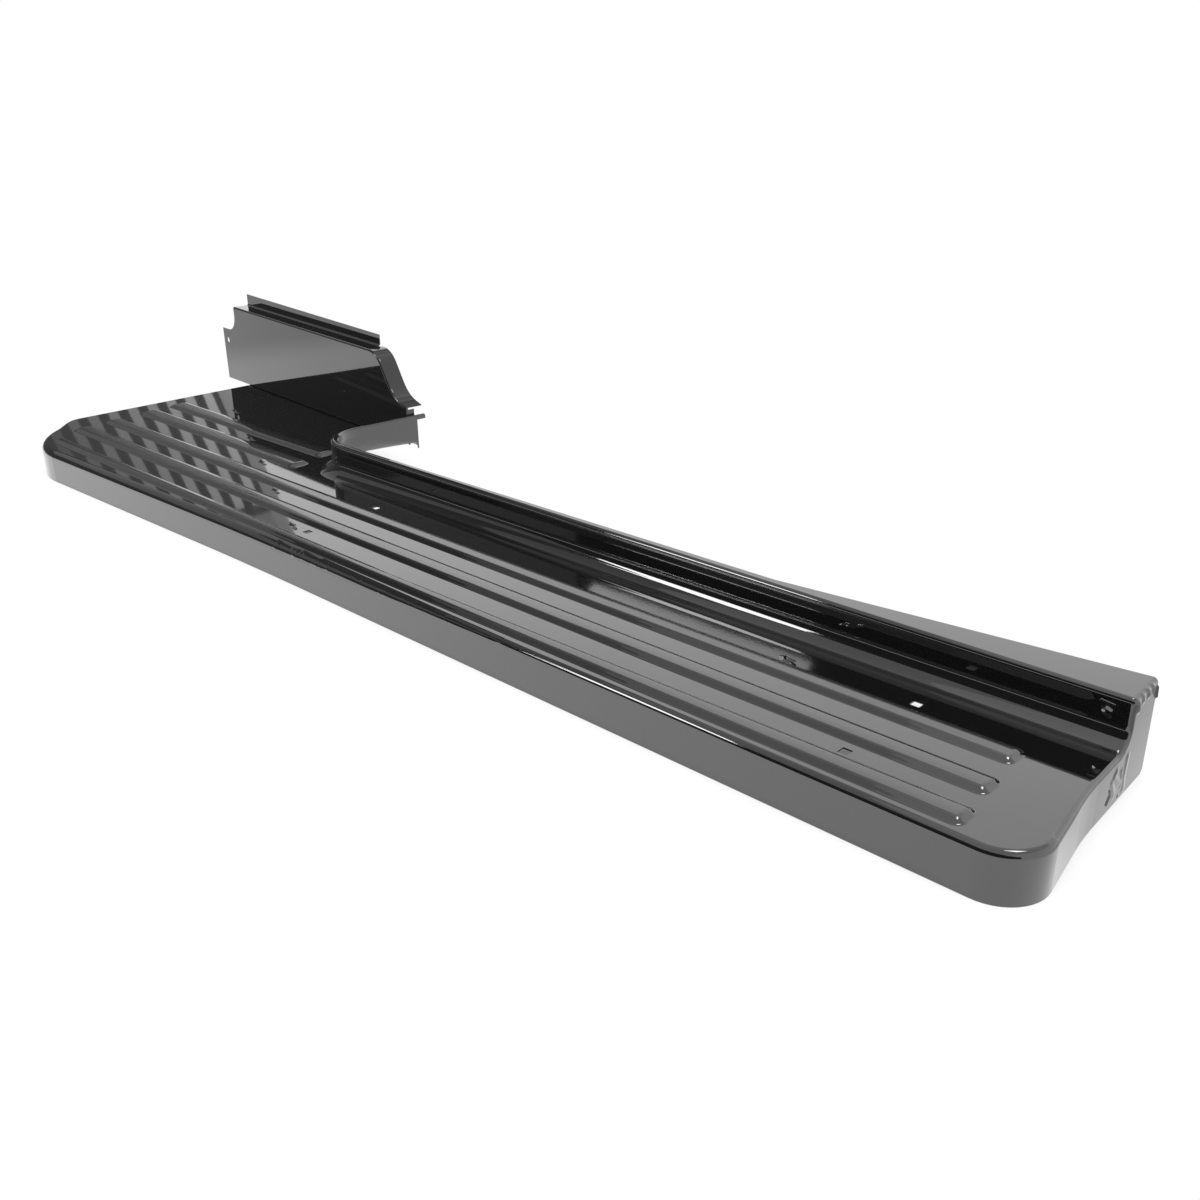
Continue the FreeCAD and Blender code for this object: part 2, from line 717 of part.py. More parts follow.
fixing_hole.setExpression("Placement.Base.y", margin.text)
fixing_hole.setExpression("Placement.Base.z", size("fixing_hole_level").text)
fixing_hole.Placement.Rotation = FreeCAD.Rotation(FreeCAD.Vector(1, 0, 0), 90)
apron_trimmed = cut("apron_trimmed", apron_pan, [
    flange_trim, fold_relief, front_trim, foot_trim, foot_gap, sweep_gap, fixing_hole])

upstand_rear = apron_top(size("notch_side"))
upstand_front = apron_top(upstand_end)
upstand = upright("upstand", [
    (size("notch_side"), upstand_rear - sheet), (upstand_end, upstand_front - sheet),
    (upstand_end, upstand_front + size("upstand_front_height")),
    (size("notch_side"), upstand_rear + size("upstand_height"))],
    size("apron_shelf") - sheet, sheet)
apron_joined = doc.addObject("Part::Fuse", "apron_joined")
apron_joined.Base = apron_trimmed
apron_joined.Tool = upstand
apron_joined.Refine = True
doc.recompute()


def upstand_fold(edge):
    """The fold between the shelf and the upstand, inside and out."""
    points = places(edge)
    if edge.Length < upstand_end.value / 2:
        return None
    fold_y = SIZES["apron_shelf"] - SIZES["sheet"]
    tops = [apron_top(as_size(point.x)).value for point in points]
    if all(abs(point.y - fold_y) < NEAR and abs(point.z - top) < NEAR for point, top in zip(points, tops)):
        return [SIZES["apron_bend_radius"]] * 2
    lower = all(abs(point.z - top + SIZES["sheet"]) < NEAR for point, top in zip(points, tops))
    if lower and all(abs(point.y - SIZES["apron_shelf"]) < NEAR for point in points):
        return [SIZES["apron_bend_radius"] + SIZES["sheet"]] * 2


splash_apron = fillet("splash_apron", apron_joined, upstand_fold)

# Stance: the whole part stands on its lower edges with the origin below its middle
apron_x_start, apron_y_start = on_apron_line(-size("apron_overhang"), as_size(0))
splash_apron.Placement = FreeCAD.Placement(
    FreeCAD.Vector(apron_x_start.value, apron_y_start.value, 0),
    FreeCAD.Rotation(FreeCAD.Vector(0, 0, 1), -SIZES["apron_skew"]))
doc.recompute()
PIECES = [step_board, splash_apron]
whole = FreeCAD.BoundBox()
for piece in PIECES:
    whole.add(piece.Shape.optimalBoundingBox(False, False))
shift = FreeCAD.Vector(-whole.Center.x, -whole.Center.y, -whole.ZMin)
for piece in PIECES:
    piece.Placement = FreeCAD.Placement(shift, FreeCAD.Rotation()) * piece.Placement
doc.recompute()

os.makedirs("parts", exist_ok=True)
for thing in doc.Objects:
    if "Invalid" in thing.State or "Error" in thing.State:
        raise RuntimeError(f"{thing.Name} did not recompute")
for piece in PIECES:
    piece.Label = piece.Name
    if piece.Shape.isNull() or not piece.Shape.isValid() or len(piece.Shape.Solids) != 1:
        raise RuntimeError(f"{piece.Name} is not one valid solid")
    piece.Shape.exportStep(os.path.join("parts", f"{piece.Label}.step"))
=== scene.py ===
"""Running board of a pickup: its gloss black finish, small forming marks and the studio it stands in."""
from __future__ import annotations

import logging
import math
from dataclasses import dataclass
from enum import Enum

import bpy
from mathutils import Matrix, Vector


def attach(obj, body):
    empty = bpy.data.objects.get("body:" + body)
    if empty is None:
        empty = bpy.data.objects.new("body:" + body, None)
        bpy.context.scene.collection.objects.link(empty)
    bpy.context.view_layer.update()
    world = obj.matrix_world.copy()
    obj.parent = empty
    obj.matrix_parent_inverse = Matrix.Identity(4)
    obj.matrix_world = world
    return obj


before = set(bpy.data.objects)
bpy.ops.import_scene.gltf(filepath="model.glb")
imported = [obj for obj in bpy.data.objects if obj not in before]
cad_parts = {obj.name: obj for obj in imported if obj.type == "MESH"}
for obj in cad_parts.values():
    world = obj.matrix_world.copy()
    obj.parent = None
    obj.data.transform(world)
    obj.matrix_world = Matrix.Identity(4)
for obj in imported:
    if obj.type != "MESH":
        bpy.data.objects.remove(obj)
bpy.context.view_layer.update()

log = logging.getLogger("running_board")

MM = 0.001
# The row frame's place of the front end and of the straight skirt's face, in millimetres
FRONT_END, SKIRT_FACE = 970.839, -238.132
# The middle line of each rib's top and half its width, outermost first, in millimetres from the skirt's face
RIB_TOPS = ((29.5, 16.0), (85.0, 16.0), (145.5, 16.0), (217.75, 18.25), (280.75, 18.25))
# Directions on the board; its front end wall isn't quite square to it
FORWARD, INBOARD, UPWARD = (1.0, 0.0, 0.0), (0.0, 1.0, 0.0), (0.0, 0.0, 1.0)
ALONG_END_WALL = (-0.05, 1.0, 0.0)


def place(x: float, y: float, z: float) -> Vector:
    """Turn millimetres from the front end, the skirt's face and the lower edge into the row frame.

    Args:
        x: Millimetres forward of the front end.
        y: Millimetres inboard of the skirt's outer face.
        z: Millimetres above the skirt's lower edge.

    Returns:
        The same spot in metres in the row frame.
    """
    return Vector((x + FRONT_END, y + SKIRT_FACE, z)) * MM


def new_object(name: str, data: bpy.types.ID) -> bpy.types.Object:
    """Put a new object into the scene.

    Args:
        name: The object's name.
        data: Its mesh, camera or lamp.

    Returns:
        The object.
    """
    thing = bpy.data.objects.new(name, data)
    bpy.context.scene.collection.objects.link(thing)
    return thing


def new_material(name: str) -> bpy.types.Material:
    """Start a material that is made of nodes.

    Args:
        name: The material's name.

    Returns:
        The material, with Blender's first shader in it.
    """
    material = bpy.data.materials.new(name)
    material.use_nodes = True
    return material


class Rays(Enum):
    """The outputs of a Light Path node that show the studio to a viewer."""

    CAMERA = "Is Camera Ray"
    GLOSSY = "Is Glossy Ray"
    TRANSMISSION = "Is Transmission Ray"


def calculate(
        tree: bpy.types.NodeTree, operation: str, first: bpy.types.NodeSocket | float,
        second: bpy.types.NodeSocket | float, clamp: bool = False) -> bpy.types.NodeSocket:
    """Add a Math node to a material, a world or a group.

    Args:
        tree: The tree that takes the node.
        operation: What the node works out.
        first: A socket or a plain number.
        second: A socket or a plain number.
        clamp: Whether the result is kept between 0 and 1.

    Returns:
        The result's socket.
    """
    node = tree.nodes.new("ShaderNodeMath")
    node.operation = operation
    node.use_clamp = clamp
    for entry, value in zip(node.inputs, (first, second)):
        if isinstance(value, bpy.types.NodeSocket):
            tree.links.new(value, entry)
        else:
            entry.default_value = value
    return node.outputs[0]


def remap(
        tree: bpy.types.NodeTree, value: bpy.types.NodeSocket, given: tuple[float, float] = (0.0, 1.0),
        wanted: tuple[float, float] = (0.0, 1.0), smooth: bool = False) -> bpy.types.NodeSocket:
    """Add a Map Range node, which turns one range of numbers into another.

    Args:
        tree: The tree that takes the node.
        value: The number to turn.
        given: The range that it comes in.
        wanted: The range that it goes out in.
        smooth: Whether it eases in and out.

    Returns:
        The result's socket.
    """
    node = tree.nodes.new("ShaderNodeMapRange")
    if smooth:
        node.interpolation_type = "SMOOTHSTEP"
    for label, number in zip(("From Min", "From Max", "To Min", "To Max"), (*given, *wanted)):
        node.inputs[label].default_value = number
    tree.links.new(value, node.inputs["Value"])
    return node.outputs["Result"]


def mix_colours(
        tree: bpy.types.NodeTree, share: bpy.types.NodeSocket, first: tuple[float, float, float],
        second: tuple[float, float, float]) -> bpy.types.NodeSocket:
    """Add a mix of two colours.

    Args:
        tree: The tree that takes the node.
        share: How much of the second colour there is.
        first: The colour at 0.
        second: The colour at 1.

    Returns:
        The mixed colour's socket.
    """
    node = tree.nodes.new("ShaderNodeMix")
    node.data_type = "RGBA"
    node.inputs["A"].default_value = (*first, 1.0)
    node.inputs["B"].default_value = (*second, 1.0)
    tree.links.new(share, node.inputs["Factor"])
    return node.outputs["Result"]


def mix_shaders(
        tree: bpy.types.NodeTree, share: bpy.types.NodeSocket, first: bpy.types.NodeSocket,
        second: bpy.types.NodeSocket) -> bpy.types.NodeSocket:
    """Add a mix of two shaders.

    Args:
        tree: The tree that takes the node.
        share: How much of the second shader there is.
        first: The shader at 0.
        second: The shader at 1.

    Returns:
        The mixed shader's socket.
    """
    node = tree.nodes.new("ShaderNodeMixShader")
    for source, entry in zip((share, first, second), node.inputs):
        tree.links.new(source, entry)
    return node.outputs[0]


@dataclass(frozen=True)
class GlossPaint:
    """A sprayed and baked gloss black finish.

    Attributes:
        name: The material's name.
        colour: The paint's own colour.
        dust_colour: The colour where dust lies.
        roughness: The colour layer's roughness.
        coat_roughness: The clear layer's roughness.
        ior: The refractive index of both layers.
        ripple: The height of the orange peel, in metres.
        ripple_scale: How many ripples there are in a metre.
        wave: The height of the drawn sheet's slow waves, in metres.
        wave_scale: How many waves there are in a metre.
        dust: The share of the dust that shows.
        ribbed: Whether the pressing has ribs.
        crown_roughness: The colour layer's roughness on the crowns of the ribs, which feet have dulled.
    """

    name: str
    colour: tuple[float, float, float] = (0.007, 0.007, 0.0072)
    dust_colour: tuple[float, float, float] = (0.35, 0.34, 0.33)
    roughness: float = 0.05
    coat_roughness: float = 0.02
    ior: float = 1.65
    ripple: float = 0.000003
    ripple_scale: float = 260.0
    wave: float = 0.000036
    wave_scale: float = 14.0
    dust: float = 0.03
    ribbed: bool = True
    crown_roughness: float = 0.25


class EffectGroups:
    """The shader node groups that the paints are made with.

    Attributes:
        RIPPLE_DETAIL: How fine the orange peel's noise is.
        WAVE_DETAIL: How fine the slow waves' noise is.
        DUST_DETAIL: How fine the dust's noises are.
        SPECK_EDGE: Where the specks' noise starts to show, and where it shows in full.
        PATCH_SCALE: How many dusty patches there are in a metre.
    """

    RIPPLE_DETAIL, WAVE_DETAIL, DUST_DETAIL = 1.0, 1.5, 2.0
    SPECK_EDGE = (0.62, 0.8)
    PATCH_SCALE = 6.0

    def __init__(self) -> None:
        """Build each group once."""
        self.orange_peel = self.build_orange_peel()
        self.dust = self.build_dust()
        self.crowns = self.build_crowns()

    @staticmethod
    def new_group(name: str, inputs: dict[str, float], outputs: list[str]) -> bpy.types.NodeTree:
        """Make an empty group with number sockets.

        Args:
            name: The group's name.
            inputs: The name and default of each input.
            outputs: The name of each output.

        Returns:
            The new node group with its input and output nodes.
        """
        group = bpy.data.node_groups.new(name, "ShaderNodeTree")
        for label, default in inputs.items():
            socket = group.interface.new_socket(name=label, in_out="INPUT", socket_type="NodeSocketFloat")
            socket.default_value = default
        for label in outputs:
            group.interface.new_socket(name=label, in_out="OUTPUT", socket_type="NodeSocketFloat")
        group.nodes.new("NodeGroupInput").name = "in"
        group.nodes.new("NodeGroupOutput").name = "out"
        return group

    @staticmethod
    def noise(group: bpy.types.NodeTree, spot: bpy.types.Node, detail: float) -> bpy.types.Node:
        """Add a noise that lies in the object's own space.

        Args:
            group: The group that takes the node.
            spot: Its Texture Coordinate node.
            detail: How fine the noise is.

        Returns:
            The noise node.
        """
        node = group.nodes.new("ShaderNodeTexNoise")
        node.inputs["Detail"].default_value = detail
        group.links.new(spot.outputs["Object"], node.inputs["Vector"])
        return node

    def build_orange_peel(self) -> bpy.types.NodeTree:
        """Fine ripples of sprayed paint over slow waves of the drawn sheet.

        Returns:
            A group whose Height output is in metres.
        """
        group = self.new_group(
            "orange_peel", {"Scale": 260.0, "Height": 0.000003, "Wave Scale": 14.0, "Wave": 0.000036}, ["Height"])
        given = group.nodes["in"].outputs
        spot = group.nodes.new("ShaderNodeTexCoord")
        heights = []
        for scale, height, detail in (
                ("Scale", "Height", self.RIPPLE_DETAIL), ("Wave Scale", "Wave", self.WAVE_DETAIL)):
            noise = self.noise(group, spot, detail)
            group.links.new(given[scale], noise.inputs["Scale"])
            heights.append(calculate(group, "MULTIPLY", noise.outputs["Fac"], given[height]))
        group.links.new(calculate(group, "ADD", *heights), group.nodes["out"].inputs["Height"])
        return group

    def build_dust(self) -> bpy.types.NodeTree:
        """Faint specks, in patches.

        Returns:
            A group whose Mask output runs from 0 to 1.
        """
        group = self.new_group("dust_haze", {"Scale": 900.0, "Amount": 0.03}, ["Mask"])
        given = group.nodes["in"].outputs
        spot = group.nodes.new("ShaderNodeTexCoord")
        specks = self.noise(group, spot, self.DUST_DETAIL)
        group.links.new(given["Scale"], specks.inputs["Scale"])
        patches = self.noise(group, spot, self.DUST_DETAIL)
        patches.inputs["Scale"].default_value = self.PATCH_SCALE
        shown = remap(group, specks.outputs["Fac"], given=self.SPECK_EDGE)
        together = calculate(group, "MULTIPLY", shown, patches.outputs["Fac"])
        share = calculate(group, "MULTIPLY", together, given["Amount"])
        group.links.new(share, group.nodes["out"].inputs["Mask"])
        return group

    def build_crowns(self) -> bpy.types.NodeTree:
        """Find the crowns of the ribs by their level, without the cove, which passes the same level.

        Returns:
            A group whose Mask output is 1 on the crowns, and whose Height output is their slight arch in metres.
        """
        group = self.new_group(
            "rib_crowns", {"Level": 0.0534, "Top": 0.056, "Cove": -0.043, "Short": -0.341, "Arch": 0.0008},
            ["Mask", "Height"])
        given = group.nodes["in"].outputs
        spot = group.nodes.new("ShaderNodeTexCoord")
        parts = group.nodes.new("ShaderNodeSeparateXYZ")
        group.links.new(spot.outputs["Object"], parts.inputs[0])
        x, y, z = parts.outputs
        level = calculate(group, "MULTIPLY", calculate(group, "GREATER_THAN", z, given["Level"]),
                          calculate(group, "LESS_THAN", z, given["Top"]))
        away = calculate(group, "MAXIMUM", calculate(group, "LESS_THAN", y, given["Cove"]),
                         calculate(group, "LESS_THAN", x, given["Short"]))
        mask = calculate(group, "MULTIPLY", level, away)
        group.links.new(mask, group.nodes["out"].inputs["Mask"])
        arches: bpy.types.NodeSocket | float = 0.0
        for middle, half in RIB_TOPS:
            offset = calculate(group, "SUBTRACT", y, (middle + SKIRT_FACE) * MM)
            share = calculate(group, "DIVIDE", offset, half * MM)
            arch = calculate(group, "SUBTRACT", 1.0, calculate(group, "MULTIPLY", share, share), clamp=True)
            arches = calculate(group, "ADD", arches, arch)
        rise = calculate(group, "MULTIPLY", arches, given["Arch"])
        group.links.new(calculate(group, "MULTIPLY", rise, mask), group.nodes["out"].inputs["Height"])
        return group


class PaintShop:
    """Turns finishes into materials."""

    def __init__(self, effects: EffectGroups) -> None:
        """Keep the effects.

        Args:
            effects: The node groups that the materials use.
        """
        self.effects = effects

    @staticmethod
    def add_effect(tree: bpy.types.NodeTree, group: bpy.types.NodeTree, values: dict[str, float]) -> bpy.types.Node:
        """Place an effect in a material.

        Args:
            tree: The material's nodes.
            group: The effect.
            values: The material's own values for the effect's inputs.

        Returns:
            The group's node.
        """
        node = tree.nodes.new("ShaderNodeGroup")
        node.node_tree = group
        for label, value in values.items():
            node.inputs[label].default_value = value
        return node

    def gloss(self, finish: GlossPaint) -> bpy.types.Material:
        """Mix a gloss paint.

        Args:
            finish: The paint's values.

        Returns:
            A new material.
        """
        material = new_material(finish.name)
        tree = material.node_tree
        shader = tree.nodes["Principled BSDF"]
        for label, value in (
                ("Roughness", finish.roughness), ("IOR", finish.ior), ("Coat Weight", 1.0),
                ("Coat Roughness", finish.coat_roughness), ("Coat IOR", finish.ior)):
            shader.inputs[label].default_value = value
        dust = self.add_effect(tree, self.effects.dust, {"Amount": finish.dust})
        colour = mix_colours(tree, dust.outputs["Mask"], finish.colour, finish.dust_colour)
        tree.links.new(colour, shader.inputs["Base Color"])
        peel = self.add_effect(tree, self.effects.orange_peel, {
            "Scale": finish.ripple_scale, "Height": finish.ripple,
            "Wave Scale": finish.wave_scale, "Wave": finish.wave})
        height = peel.outputs["Height"]
        if finish.ribbed:
            crowns = self.add_effect(tree, self.effects.crowns, {})
            worn = remap(tree, crowns.outputs["Mask"], wanted=(finish.roughness, finish.crown_roughness))
            tree.links.new(worn, shader.inputs["Roughness"])
            height = calculate(tree, "ADD", height, crowns.outputs["Height"])
        bump = tree.nodes.new("ShaderNodeBump")
        bump.inputs["Strength"].default_value = 1.0
        bump.inputs["Distance"].default_value = 1.0
        tree.links.new(height, bump.inputs["Height"])
        tree.links.new(bump.outputs["Normal"], shader.inputs["Normal"])
        tree.links.new(bump.outputs["Normal"], shader.inputs["Coat Normal"])
        return material


@dataclass
class Pressings:
    """The two pressings, which keep their CAD meshes and take the gloss finish.

    Attributes:
        board: The step board's node.
        apron: The splash apron's node.
    """

    board: str = "step_board"
    apron: str = "splash_apron"

    def dress(self, board_paint: bpy.types.Material, apron_paint: bpy.types.Material) -> None:
        """Paint both pressings.

        Args:
            board_paint: The step board's paint.
            apron_paint: The splash apron's paint.
        """
        for name, material in ((self.board, board_paint), (self.apron, apron_paint)):
            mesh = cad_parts[name].data
            mesh.materials.clear()
            mesh.materials.append(material)
            log.info("painted %s", name)


@dataclass(frozen=True)
class Ridge:
    """One raised line of a forming mark.

    Attributes:
        path: The points that it follows, in millimetres in the mark's own plane.
        width: How far it spreads, in millimetres.
        height: How high it stands, in millimetres.
    """

    path: tuple[tuple[float, float], ...]
    width: float
    height: float

    def rise(self, u: float, v: float) -> float:
        """Work out its height at a point of the plane.

        Args:
            u: Millimetres along the plane's first direction.
            v: Millimetres along its second direction.

        Returns:
            The height in millimetres, on a bell curve across the line.
        """
        spot = Vector((u, v))
        nearest = min(self.distance(spot, Vector(start), Vector(end)) for start, end in zip(self.path, self.path[1:]))
        return self.height * math.exp(-0.5 * (nearest / self.width) ** 2)

    @staticmethod
    def distance(spot: Vector, start: Vector, end: Vector) -> float:
        """Measure from a point to one run of the path.

        Args:
            spot: The point.
            start: The run's first end.
            end: Its other end.

        Returns:
            The distance in millimetres.
        """
        run = end - start
        share = min(1.0, max(0.0, (spot - start).dot(run) / run.length_squared))
        return (spot - start - run * share).length


@dataclass(frozen=True)
class FormingMark:
    """A dimple, dent rim or wrinkle that the press left in the sheet, lying on the pressing's own surface.

    Attributes:
        name: The piece's name.
        spot: The middle of its plane, in millimetres of the board's own frame.
        along: The plane's first direction.
        across: The plane's second direction.
        ridges: The raised lines.
        node: The pressing that it lies on.
        sink: How far the mark's edges lie below the surface, in millimetres.
        skin: How thick the mark is under them, in millimetres.
        spread: How many widths of its widest line the mark reaches past its lines.
        above: How far over its plane the search for the surface starts, in millimetres.
        search: How far the search goes, in millimetres.
    """

    name: str
    spot: tuple[float, float, float]
    along: tuple[float, float, float]
    across: tuple[float, float, float]
    ridges: tuple[Ridge, ...]
    node: str = "step_board"
    sink: float = 0.04
    skin: float = 0.5
    spread: float = 3.0
    above: float = 15.0
    search: float = 30.0

    def stations(self, side: int) -> list[float]:
        """Divide one side of the net, with two steps to the width of the narrowest line.

        Args:
            side: 0 for the plane's first direction and 1 for its second.

        Returns:
            The net's places along that side, in millimetres.
        """
        step = min(ridge.width for ridge in self.ridges) / 2
        reach = self.spread * max(ridge.width for ridge in self.ridges)
        places = [point[side] for ridge in self.ridges for point in ridge.path]
        low, high = min(places) - reach, max(places) + reach
        return [low + number * step for number in range(int((high - low) / step) + 1)]

    def drape(self) -> tuple[dict[tuple[int, int], int], list[Vector], list[Vector]]:
        """Drop the net onto the pressing.

        Returns:
            Each knot of the net that meets the sheet, with its number, then the knots' places on the mark's outer
            face and those under it.
        """
        along, across = Vector(self.along).normalized(), Vector(self.across).normalized()
        out = along.cross(across)
        knots: dict[tuple[int, int], int] = {}
        upper: list[Vector] = []
        lower: list[Vector] = []
        for column, u in enumerate(self.stations(0)):
            for row, v in enumerate(self.stations(1)):
                start = place(*self.spot) + (along * u + across * v + out * self.above) * MM
                hit, foot, _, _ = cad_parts[self.node].ray_cast(start, -out, distance=self.search * MM)
                if hit:
                    height = max(ridge.rise(u, v) for ridge in self.ridges) - self.sink
                    knots[column, row] = len(upper)
                    upper.append(foot + out * height * MM)
                    lower.append(foot - out * self.skin * MM)
        return knots, upper, lower

    @staticmethod
    def close(knots: dict[tuple[int, int], int]) -> list[tuple[int, ...]]:
        """Join the knots into a closed skin.

        Args:
            knots: The net's knots and their numbers.

        Returns:
            The faces on top and below, then those round the rim.
        """
        count = len(knots)
        faces: list[tuple[int, ...]] = []
        edges: list[tuple[int, int]] = []
        for column, row in knots:
            ring = [knots.get(key) for key in (
                (column, row), (column + 1, row), (column + 1, row + 1), (column, row + 1))]
            if None not in ring:
                faces.append(tuple(ring))
                faces.append(tuple(count + corner for corner in reversed(ring)))
                edges.extend(zip(ring, ring[1:] + ring[:1]))
        shared = set(edges)
        for start, end in edges:
            if (end, start) not in shared:
                faces.append((end, start, count + start, count + end))
        return faces

    def build(self, material: bpy.types.Material) -> bpy.types.Object:
        """Lay a fine net over the surface and raise its lines.

        Args:
            material: The pressing's paint.

        Returns:
            The mark's object.
        """
        knots, upper, lower = self.drape()
        mesh = bpy.data.meshes.new(self.name)
        mesh.from_pydata(upper + lower, [], self.close(knots))
        mesh.polygons.foreach_set("use_smooth", [True] * len(mesh.polygons))
        mesh.validate()
        mark = new_object(self.name, mesh)
        mesh.materials.append(material)
        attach(mark, "root")
        log.info("raised %s", self.name)
        return mark


@dataclass
class FormingMarks:
    """Every mark that shows on the board.

    Attributes:
        tread_level: The tread's level, in millimetres.
        dimples: The places of the tread's dimples along and across the board, in millimetres.
    """

    tread_level: float = 50.0
    dimples: tuple[tuple[float, float], ...] = (
        (-1083.0, 54.7), (-1234.0, 122.5), (-1374.0, 187.0), (-1512.0, 249.7), (-1694.0, 329.1))

    def dimple(self, number: int, x: float, y: float) -> FormingMark:
        """One of the tread's dimples, whose tail turns a little more with each.

        Args:
            number: Its number, from 1.
            x: Its place along the board, in millimetres.
            y: Its place across the board, in millimetres.

        Returns:
            The mark.
        """
        return FormingMark(f"dimple_{number}", (x, y, self.tread_level), FORWARD, INBOARD, (
            Ridge(((-3, -0.5), (1, 0.5)), 1.5, 2.3),
            Ridge(((9, -4), (18, -8 + number)), 1.2, 0.8),
            Ridge(((-12, 5), (-7, 2)), 1.0, 0.6)))

    def dents(self) -> list[FormingMark]:
        """The dents of the tread and of the upstand.

        Returns:
            Both marks.
        """
        return [
            FormingMark("tread_dent", (-347.0, 168.0, self.tread_level), FORWARD, INBOARD, (
                Ridge(((-9, 5), (-3, -1), (4, -2), (10, -5)), 1.6, 0.8),
                Ridge(((-2, 4), (5, 3)), 1.3, 0.6))),
            FormingMark("upstand_dent", (-41.5, 228.0, 79.0), FORWARD, UPWARD, (
                Ridge(((-1.2, 0.5), (1.2, -0.5)), 3.0, 1.15),
                Ridge(((-8, 9.5), (5, 8)), 0.9, 0.3))),
        ]

    @staticmethod
    def end_marks() -> list[FormingMark]:
        """The wrinkles, nick and folds of the front end wall.

        Returns:
            All three marks.
        """
        return [
            FormingMark("end_wrinkles", (-18.0, 212.0, 22.0), ALONG_END_WALL, UPWARD, (
                Ridge(((18.6, 18.6), (16.3, -0.9), (20, -15)), 2.8, 0.9),
                Ridge(((-7, 14.7), (-11.5, 10.7), (-3, 4), (6.7, -2.9)), 2.6, 1.1),
                Ridge(((-15, 7), (-5, -9.9)), 2.6, 0.8),
                Ridge(((8, 9), (11, -8)), 2.2, 0.8),
                Ridge(((7.5, -17), (9.5, -18.5)), 1.2, 0.8))),
            FormingMark("end_nick", (-17.5, 193.0, 15.0), ALONG_END_WALL, UPWARD, (
                Ridge(((0.5, 8), (3.6, 1), (-3.0, -5.5)), 0.55, 1.2),)),
            FormingMark("ledge_end_folds", (-21.0, 255.0, 88.0), ALONG_END_WALL, UPWARD, (
                Ridge(((-20, 4), (-18, -2)), 2.4, 1.9),
                Ridge(((-8, 6), (-7, 3)), 2.4, 1.2),
                Ridge(((5, 7), (6, 3)), 2.4, 1.5),
                Ridge(((17, 7), (18, 3)), 2.0, 1.3),
                Ridge(((27, 3), (28, -3), (29, -8)), 1.0, 2.0))),
        ]

    def build(self, material: bpy.types.Material) -> None:
        """Raise every mark.

        Args:
            material: The step board's paint.
        """
        dimples = [self.dimple(number, x, y) for number, (x, y) in enumerate(self.dimples, start=1)]
        for mark in dimples + self.dents() + self.end_marks():
            mark.build(material)


@dataclass
class Camera:
    """The camera of the photograph, in the board's own frame.

    Attributes:
        x: Millimetres forward of the front end.
        y: Millimetres inboard of the skirt's face.
        z: Millimetres above the skirt's lower edge.
        azimuth: How far it is turned to the left of square across the board, in degrees.
        elevation: How far it looks down, in degrees.
        roll: How far it leans, in degrees.
        lens: Its focal length, in millimetres.
        sensor: The width that the focal length goes with, in millimetres.
        far_end: How far it sees, in metres.
    """

    x: float = 306.0
    y: float = -779.0
    z: float = 606.0
    azimuth: float = 44.2
    elevation: float = 23.2
    roll: float = -0.6
    lens: float = 36.75
    sensor: float = 36.0
    far_end: float = 50.0

    def build(self) -> bpy.types.Object:
        """Place the camera.

        Returns:
            The camera object.
        """
        around, down, lean = (math.radians(angle) for angle in (self.azimuth, self.elevation, self.roll))
        level = Vector((-math.sin(around), math.cos(around), 0.0))
        right = Vector((math.cos(around), math.sin(around), 0.0))
        ahead = level * math.cos(down) - Vector(UPWARD) * math.sin(down)
        up = level * math.sin(down) + Vector(UPWARD) * math.cos(down)
        side = right * math.cos(lean) + up * math.sin(lean)
        top = up * math.cos(lean) - right * math.sin(lean)
        data = bpy.data.cameras.new("camera")
        data.lens = self.lens
        data.sensor_width = self.sensor
        data.clip_end = self.far_end
        camera = new_object("camera", data)
        turn = Matrix((side, top, -ahead)).transposed().to_4x4()
        camera.matrix_world = Matrix.Translation(place(self.x, self.y, self.z)) @ turn
        bpy.context.scene.camera = camera
        log.info("placed the camera")
        return camera


